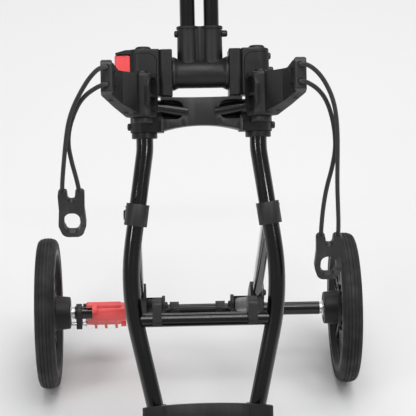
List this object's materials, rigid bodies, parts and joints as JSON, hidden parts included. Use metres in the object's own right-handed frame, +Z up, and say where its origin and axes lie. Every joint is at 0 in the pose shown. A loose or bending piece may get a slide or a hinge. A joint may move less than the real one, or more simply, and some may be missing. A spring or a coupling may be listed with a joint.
{
  "type": "golf push cart",
  "caption": "Three-wheeled golf push cart with a folding handle and rear legs, swinging bag arms with elastic cords, and a foot brake.",
  "frame": {"origin": "on the ground, at the middle of the cart's length and width", "axes": "+Z up, +Y towards the person who pushes, -Y towards the front wheel, +X to that front's left; brake and red button are on the -X side"},
  "size_m": [0.636, 0.947, 1.0783],
  "materials": {
    "gloss_black": "gloss black paint",
    "satin_black": "satin black moulding",
    "stay_grey": "matt dark grey",
    "wheel_black": "satin black moulding",
    "tread": "matt rubber",
    "foam": "foam",
    "red": "red moulding",
    "black_steel": "blackened steel",
    "bright_steel": "bright steel",
    "elastic": "braided elastic cord"
  },
  "bodies": {
    "frame": {"frame_tube_l": "gloss_black", "frame_tube_r": "gloss_black", "side_housing_l": "satin_black", "side_housing_r": "satin_black", "tube_caps": "satin_black", "hinge_axle": "bright_steel", "cradle": "satin_black", "cradle_rods": "gloss_black", "frame_bolts": "black_steel", "arm_pins": "black_steel", "leg_brackets": "satin_black", "leg_pins": "black_steel", "latch_bar": "gloss_black", "foot_casting": "satin_black", "bag_tray": "satin_black", "lower_cradle": "satin_black", "front_fork": "gloss_black", "front_axle": "bright_steel", "button_spring": "bright_steel"},
    "front_wheel": {"front_rim": "wheel_black", "front_tyre": "tread", "front_bush": "bright_steel"},
    "handle": {"hub": "satin_black", "handle_tubes": "gloss_black", "hub_bolts": "black_steel", "handlebar": "gloss_black", "handle_head": "satin_black", "grips": "foam", "console": "satin_black", "accessory_socket": "satin_black", "lid_pin": "black_steel"},
    "lid": {"console_lid": "satin_black"},
    "button": {"release_button": "red"},
    "bag_arm_l": {"arm_l": "satin_black", "cord_l": "elastic", "cord_clip_l": "satin_black"},
    "bag_arm_r": {"arm_r": "satin_black", "cord_r": "elastic", "cord_clip_r": "satin_black"},
    "rear_frame": {"crossbar": "gloss_black", "axle_stubs": "bright_steel", "axle_caps": "wheel_black", "legs": "gloss_black", "leg_eyes": "satin_black", "knuckles": "satin_black", "rear_bolts": "black_steel", "crossbar_saddles": "satin_black", "brake_guide": "satin_black"},
    "stay_pair": {"stays": "stay_grey", "stay_feet": "satin_black", "stay_hooks": "satin_black"},
    "brake": {"brake_pedal": "red", "brake_stud": "black_steel"},
    "pin": {"brake_pin": "bright_steel"},
    "rear_wheel_l": {"rear_rim_l": "wheel_black", "rear_tyre_l": "tread", "rear_bush_l": "bright_steel"},
    "rear_wheel_r": {"rear_rim_r": "wheel_black", "rear_tyre_r": "tread", "rear_bush_r": "bright_steel"}
  },
  "joints": [
    {"name": "handle_fold", "type": "hinge", "parent": "frame", "child": "handle", "pos_m": [0, 0.1065, 0.76], "axis": [1, 0, 0], "range_deg": [0, 125]},
    {"name": "lid_open", "type": "hinge", "parent": "handle", "child": "lid", "pos_m": [0, 0.1074, 0.987], "axis": [1, 0, 0], "range_deg": [0, 100]},
    {"name": "button_press", "type": "slide", "parent": "frame", "child": "button", "axis": [1, 0, 0], "range_m": [0, 0.005], "stiffness_N_per_m": 900, "springref_m": -0.003, "deforming": ["button_spring"]},
    {"name": "arm_swing_l", "type": "hinge", "parent": "frame", "child": "bag_arm_l", "pos_m": [0.095, 0.038, 0.75336], "axis": [0, 0.5, 0.866], "range_deg": [0, 38]},
    {"name": "arm_swing_r", "type": "hinge", "parent": "frame", "child": "bag_arm_r", "pos_m": [-0.095, 0.038, 0.75336], "axis": [0, -0.5, -0.866], "range_deg": [0, 38]},
    {"name": "rear_fold", "type": "hinge", "parent": "frame", "child": "rear_frame", "pos_m": [0, 0.04346, 0.53081], "axis": [-1, 0, 0], "range_deg": [0, 66]},
    {"name": "stay_fold", "type": "hinge", "parent": "rear_frame", "child": "stay_pair", "pos_m": [0, 0.2865, 0.185], "axis": [-1, 0, 0], "range_deg": [0, 26]},
    {"name": "brake_lift", "type": "hinge", "parent": "rear_frame", "child": "brake", "pos_m": [0, 0.3265, 0.147], "axis": [1, 0, 0], "range_deg": [0, 58]},
    {"name": "brake_pin_slide", "type": "slide", "parent": "rear_frame", "child": "pin", "axis": [1, 0, 0], "range_m": [0, 0.0102]},
    {"name": "front_wheel_spin", "type": "hinge", "parent": "frame", "child": "front_wheel", "pos_m": [0, -0.3535, 0.12], "axis": [1, 0, 0], "continuous": true},
    {"name": "rear_wheel_l_spin", "type": "hinge", "parent": "rear_frame", "child": "rear_wheel_l", "pos_m": [0.29, 0.3265, 0.147], "axis": [1, 0, 0], "continuous": true},
    {"name": "rear_wheel_r_spin", "type": "hinge", "parent": "rear_frame", "child": "rear_wheel_r", "pos_m": [-0.29, 0.3265, 0.147], "axis": [1, 0, 0], "continuous": true}
  ],
  "couplings": [
    {"joint": "stay_fold", "follows": "rear_fold", "ratio": 0.39},
    {"joint": "brake_pin_slide", "follows": "brake_lift", "m_per_rad": 0.00988}
  ]
}
